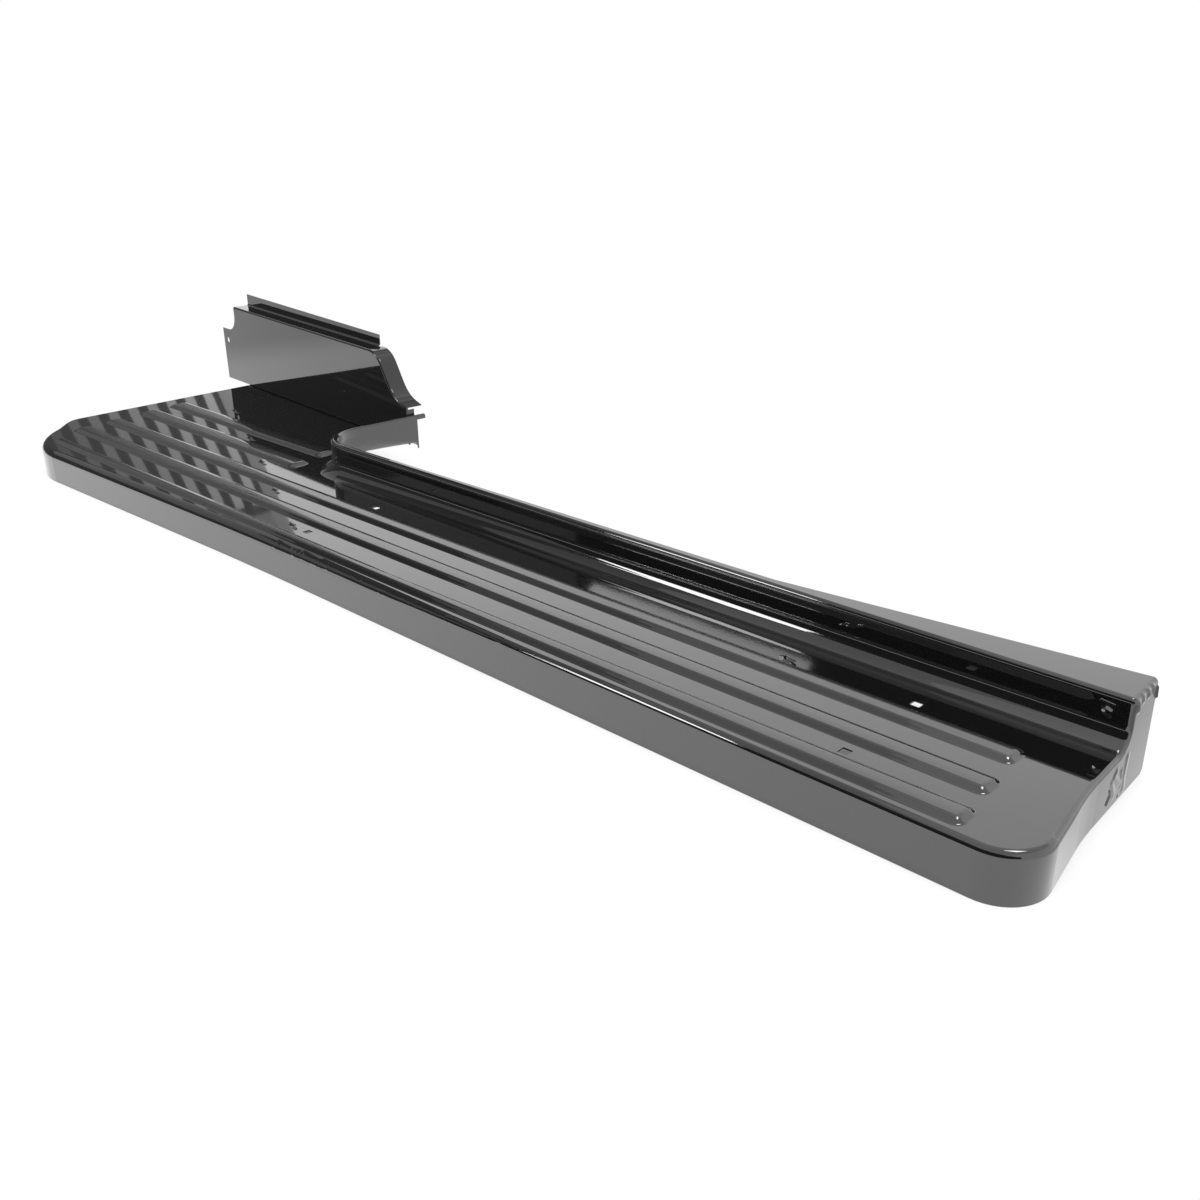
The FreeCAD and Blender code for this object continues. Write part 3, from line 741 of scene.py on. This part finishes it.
@dataclass(frozen=True)
class Card:
    """A flat card of the studio that only the gloss finish mirrors.

    Attributes:
        name: The card's name.
        corners: Its corners in millimetres from the front end, the skirt's face and the lower edge.
        glow: Its brightness, where 1 is white.
        soft: The share of a level card's width over which its edge fades.
    """

    name: str
    corners: tuple[tuple[float, float, float], ...]
    glow: float
    soft: float = 0.0

    def build(self) -> bpy.types.Object:
        """Hang the card.

        Returns:
            The card's object.
        """
        mesh = bpy.data.meshes.new(self.name)
        mesh.from_pydata([place(*corner) for corner in self.corners], [], [tuple(range(len(self.corners)))])
        card = new_object(self.name, mesh)
        card.visible_camera = False
        card.visible_diffuse = False
        card.visible_shadow = False
        material = new_material(self.name)
        nodes = material.node_tree.nodes
        nodes.remove(nodes["Principled BSDF"])
        glow = nodes.new("ShaderNodeEmission")
        glow.inputs["Color"].default_value = (self.glow, self.glow, self.glow, 1.0)
        shine = glow.outputs[0]
        if self.soft:
            shine = self.fade(material.node_tree, shine)
        material.node_tree.links.new(shine, nodes["Material Output"].inputs["Surface"])
        mesh.materials.append(material)
        return card

    def fade(self, tree: bpy.types.NodeTree, shine: bpy.types.NodeSocket) -> bpy.types.NodeSocket:
        """Make a level card clear towards its edges.

        Args:
            tree: The card's material.
            shine: Its emission.

        Returns:
            The mixed shader's socket.
        """
        spot = tree.nodes.new("ShaderNodeTexCoord")
        parts = tree.nodes.new("ShaderNodeSeparateXYZ")
        tree.links.new(spot.outputs["Generated"], parts.inputs[0])
        middle = 0.5
        inset = calculate(tree, "MINIMUM", calculate(tree, "PINGPONG", parts.outputs["X"], middle),
                          calculate(tree, "PINGPONG", parts.outputs["Y"], middle))
        share = remap(tree, inset, given=(0.0, self.soft), smooth=True)
        clear = tree.nodes.new("ShaderNodeBsdfTransparent")
        return mix_shaders(tree, share, clear.outputs[0], shine)


@dataclass(frozen=True)
class PaneEdge:
    """One level edge of the window's panes, in millimetres of the board's own frame.

    Attributes:
        left: The rear end's place along the board.
        right: The front end's place along the board.
        y: The edge's place across the board.
        z: Its level.
    """

    left: float
    right: float
    y: float
    z: float


@dataclass
class Room:
    """The dark room around the set, with a slatted gate on its left wall, which the paint mirrors.

    Lengths are in millimetres of the board's own frame. The left wall lies far behind the board's rear end.

    Attributes:
        left: The left wall's place along the board.
        wall_start: Where the left wall starts across the board.
        backdrop_edge: Where the left wall ends at floor level, at the white backdrop's edge.
        lean: How far the wall's strips shift inboard for each millimetre of height.
        camera_side: The place across the board of the wall behind the camera.
        wall_end: The end of that wall along the board.
        rim_width: The width of the backdrop's lit rim.
        upper_wall: The levels between which the left wall is lit.
        window_edges: The edges of the window's panes, lowest first.
        window_panes: The name and brightness of each pane.
        ceiling: The ceiling's level.
        ceiling_edge: Where the ceiling ends across the board.
        ceiling_bands: Where each band of the ceiling ends along the board, and its brightness.
        slats: How many slats the gate has.
        slat_start: The inboard edge of the first slat at floor level.
        slat_pitch: The distance from slat to slat.
        slat_width: The width of a slat.
        slat_levels: The levels of a slat's ends.
        slat_glow: The first slat's brightness.
        slat_fade: How much darker each next one is.
    """

    left: float = -5000.0
    wall_start: float = -8000.0
    backdrop_edge: float = 1877.0
    lean: float = 0.317
    camera_side: float = -4000.0
    wall_end: float = 9000.0
    rim_width: float = 70.0
    upper_wall: tuple[float, float] = (1510.0, 2800.0)
    window_edges: tuple[PaneEdge, ...] = (
        PaneEdge(-4750.0, -3070.0, -3900.0, 2466.0), PaneEdge(-4891.0, -3188.0, -3900.0, 2750.0),
        PaneEdge(-5500.0, -3700.0, -3900.0, 3980.0), PaneEdge(-5700.0, -3900.0, -3000.0, 3980.0))
    window_panes: tuple[tuple[str, float], ...] = (("window_sill", 5.5), ("window", 9.0), ("window_top", 8.2))
    ceiling: float = 4000.0
    ceiling_edge: float = 4600.0
    ceiling_bands: tuple[tuple[float, float], ...] = ((-3600.0, 0.26), (-2000.0, 0.5), (3000.0, 0.75))
    slats: int = 9
    slat_start: float = 1770.0
    slat_pitch: float = 93.0
    slat_width: float = 46.0
    slat_levels: tuple[float, float] = (780.0, 1450.0)
    slat_glow: float = 0.56
    slat_fade: float = 0.05

    def wall_strip(
            self, name: str, sides: tuple[float, float], levels: tuple[float, float], glow: float,
            inset: float = 0.0) -> Card:
        """A leaning strip on the left wall.

        Args:
            name: The strip's name.
            sides: Where its two sides would stand at floor level, inboard of the skirt.
            levels: The levels of its lower and upper edges.
            glow: Its brightness.
            inset: How far it hangs in front of the wall.

        Returns:
            The strip's card.
        """
        x = self.left + inset
        (near, far), (low, high) = sides, levels
        return Card(name, (
            (x, near + low * self.lean, low), (x, far + low * self.lean, low),
            (x, far + high * self.lean, high), (x, near + high * self.lean, high)), glow)

    @staticmethod
    def level_card(
            name: str, first: tuple[float, float], last: tuple[float, float], level: float, glow: float,
            soft: float = 0.0) -> Card:
        """A level rectangle.

        Args:
            name: The card's name.
            first: Its rear outer corner.
            last: Its front inner corner.
            level: How high it hangs.
            glow: Its brightness.
            soft: The share of its width over which its edge fades.

        Returns:
            The card.
        """
        (rear, outer), (front, inner) = first, last
        return Card(name, (
            (rear, outer, level), (front, outer, level), (front, inner, level), (rear, inner, level)), glow, soft)

    def walls(self) -> list[Card]:
        """The left wall with its lit parts, and the wall behind the camera.

        Returns:
            Their cards.
        """
        full_height = (0.0, self.ceiling)
        return [
            self.wall_strip("left_wall", (self.wall_start, self.backdrop_edge), full_height, glow=0.09),
            self.wall_strip(
                "backdrop_rim", (self.backdrop_edge - self.rim_width, self.backdrop_edge), full_height,
                glow=0.36, inset=10.0),
            self.wall_strip(
                "upper_wall", (self.wall_start, self.backdrop_edge), self.upper_wall, glow=0.3, inset=5.0),
            Card("camera_side_wall", (
                (self.left, self.camera_side, 0), (self.wall_end, self.camera_side, 0),
                (self.wall_end, self.camera_side, self.ceiling), (self.left, self.camera_side, self.ceiling)),
                glow=0.04),
        ]

    def window(self) -> list[Card]:
        """The lit window, whose white line the nose of the skirt mirrors.

        Returns:
            Its panes.
        """
        return [
            Card(name, (
                (low.left, low.y, low.z), (low.right, low.y, low.z),
                (high.right, high.y, high.z), (high.left, high.y, high.z)), glow)
            for (name, glow), low, high in zip(self.window_panes, self.window_edges, self.window_edges[1:])]

    def lamp_and_shades(self) -> list[Card]:
        """The lamp over the wall, and the painted light and painted shade on the floor that the skirt, the end wall
        and the rear corner mirror.

        Returns:
            Their cards.
        """
        return [
            self.level_card("top_lamp", (-200.0, 900.0), (700.0, 1900.0), level=3900.0, glow=9.0),
            # Painted light: a floor patch brighter than white that only the paint mirrors, which lightens the floor
            # seen in the lower skirt
            self.level_card("front_floor_painted_light", (-3400.0, -1900.0), (450.0, 150.0), level=0.2, glow=1.4, soft=0.35),
            # Painted shade: darker floor patches in front of the end wall and far behind the board, seen only in the
            # paint's reflections
            self.level_card("end_shade", (-90.0, 20.0), (300.0, 660.0), level=0.3, glow=0.55, soft=0.35),
            self.level_card("far_shade", (-4600.0, -700.0), (-2200.0, 700.0), level=0.3, glow=0.7, soft=0.15),
        ]

    def ceiling_cards(self) -> list[Card]:
        """The ceiling, which gets brighter towards the front.

        Returns:
            One card for each band.
        """
        starts = (self.left, *(end for end, _ in self.ceiling_bands))
        return [
            self.level_card(
                f"ceiling_{number}", (start, self.camera_side), (end, self.ceiling_edge), self.ceiling, glow)
            for number, (start, (end, glow)) in enumerate(zip(starts, self.ceiling_bands), start=1)]

    def gate(self) -> list[Card]:
        """The gate's slats, each a little darker than the last.

        Returns:
            One card for each slat.
        """
        cards = []
        for number in range(self.slats):
            start = self.slat_start - number * self.slat_pitch
            cards.append(self.wall_strip(
                f"slat_{number + 1}", (start - self.slat_width, start), self.slat_levels,
                self.slat_glow - number * self.slat_fade, inset=20.0))
        return cards

    def build(self) -> None:
        """Hang every card."""
        cards = self.walls() + self.window() + self.lamp_and_shades() + self.ceiling_cards() + self.gate()
        for card in cards:
            card.build()
        log.info("hung %d cards", len(cards))


@dataclass
class Studio:
    """A pale floor, a white backdrop and a soft lamp.

    Attributes:
        floor_size: The floor's width, in metres.
        floor_drop: How far the floor lies below the object, in metres.
        floor_colour: Its colour.
        floor_roughness: Its roughness.
        shadow_reach: How far away the object still shades the floor, in metres.
        shadow_open: How open the floor is to the sky in the deepest shadow and where the shadow ends.
        shadow_white: How white the floor shows at those two.
        world_grey: The plain light of the world on the object.
        lamp_size: The lamp's two sides, in metres.
        lamp_height: Its height, in metres.
        lamp_power: Its power, in watts.
    """

    floor_size: float = 24.0
    floor_drop: float = 0.0005
    floor_colour: tuple[float, float, float] = (0.8, 0.8, 0.8)
    floor_roughness: float = 0.8
    shadow_reach: float = 0.3
    shadow_open: tuple[float, float] = (0.1, 0.55)
    shadow_white: tuple[float, float] = (0.16, 1.0)
    world_grey: float = 0.55
    lamp_size: tuple[float, float] = (2.5, 1.5)
    lamp_height: float = 2.4
    lamp_power: float = 40.0

    def build(self) -> None:
        """Lay the floor, set the world and hang the lamp and the cards."""
        self.lay_floor()
        self.set_world()
        self.hang_lamp()
        Room().build()

    @staticmethod
    def viewed(tree: bpy.types.NodeTree) -> bpy.types.NodeSocket:
        """Make a value that is 1 for the rays that show the background to a viewer.

        Args:
            tree: The nodes of a material or of the world.

        Returns:
            The value's socket.
        """
        rays = tree.nodes.new("ShaderNodeLightPath")
        total = rays.outputs[Rays.CAMERA.value]
        for kind in (Rays.GLOSSY, Rays.TRANSMISSION):
            total = calculate(tree, "ADD", total, rays.outputs[kind.value], clamp=True)
        return total

    def lay_floor(self) -> None:
        """A floor that shows white and keeps the shadow below the object."""
        mesh = bpy.data.meshes.new("floor")
        half = self.floor_size / 2
        mesh.from_pydata([(-half, -half, 0), (half, -half, 0), (half, half, 0), (-half, half, 0)], [], [(0, 1, 2, 3)])
        floor = new_object("floor", mesh)
        floor.location.z = -self.floor_drop
        material = new_material("pale_floor")
        tree = material.node_tree
        shader = tree.nodes["Principled BSDF"]
        shader.inputs["Base Color"].default_value = (*self.floor_colour, 1.0)
        shader.inputs["Roughness"].default_value = self.floor_roughness
        shade = tree.nodes.new("ShaderNodeAmbientOcclusion")
        shade.inputs["Distance"].default_value = self.shadow_reach
        white = remap(tree, shade.outputs["AO"], self.shadow_open, self.shadow_white)
        glow = tree.nodes.new("ShaderNodeEmission")
        tree.links.new(white, glow.inputs["Strength"])
        shown = mix_shaders(tree, self.viewed(tree), shader.outputs[0], glow.outputs[0])
        tree.links.new(shown, tree.nodes["Material Output"].inputs["Surface"])
        mesh.materials.append(material)

    def set_world(self) -> None:
        """White wherever the background is seen or mirrored, and a plain grey light elsewhere."""
        world = bpy.data.worlds.new("studio")
        bpy.context.scene.world = world
        world.use_nodes = True
        tree = world.node_tree
        colour = mix_colours(tree, self.viewed(tree), (self.world_grey,) * 3, (1.0, 1.0, 1.0))
        tree.links.new(colour, tree.nodes["Background"].inputs["Color"])

    def hang_lamp(self) -> None:
        """One wide soft lamp above the object, which the paint doesn't mirror."""
        lamp = bpy.data.lights.new("overhead", "AREA")
        lamp.shape = "RECTANGLE"
        lamp.size, lamp.size_y = self.lamp_size
        lamp.energy = self.lamp_power
        holder = new_object("overhead", lamp)
        holder.location = (0.0, 0.0, self.lamp_height)
        holder.visible_glossy = False


def main() -> None:
    """Build the studio and dress the board."""
    logging.basicConfig(level=logging.INFO, format="%(message)s")
    bpy.context.scene.view_settings.view_transform = "Standard"
    Studio().build()
    Camera().build()
    shop = PaintShop(EffectGroups())
    board_paint = shop.gloss(GlossPaint("board_gloss_black"))
    apron_paint = shop.gloss(GlossPaint(
        "apron_gloss_black", ior=1.52, ripple=0.000002, wave=0.00016, wave_scale=6.0, ribbed=False))
    Pressings().dress(board_paint, apron_paint)
    FormingMarks().build(board_paint)


if __name__ == "__main__":
    main()
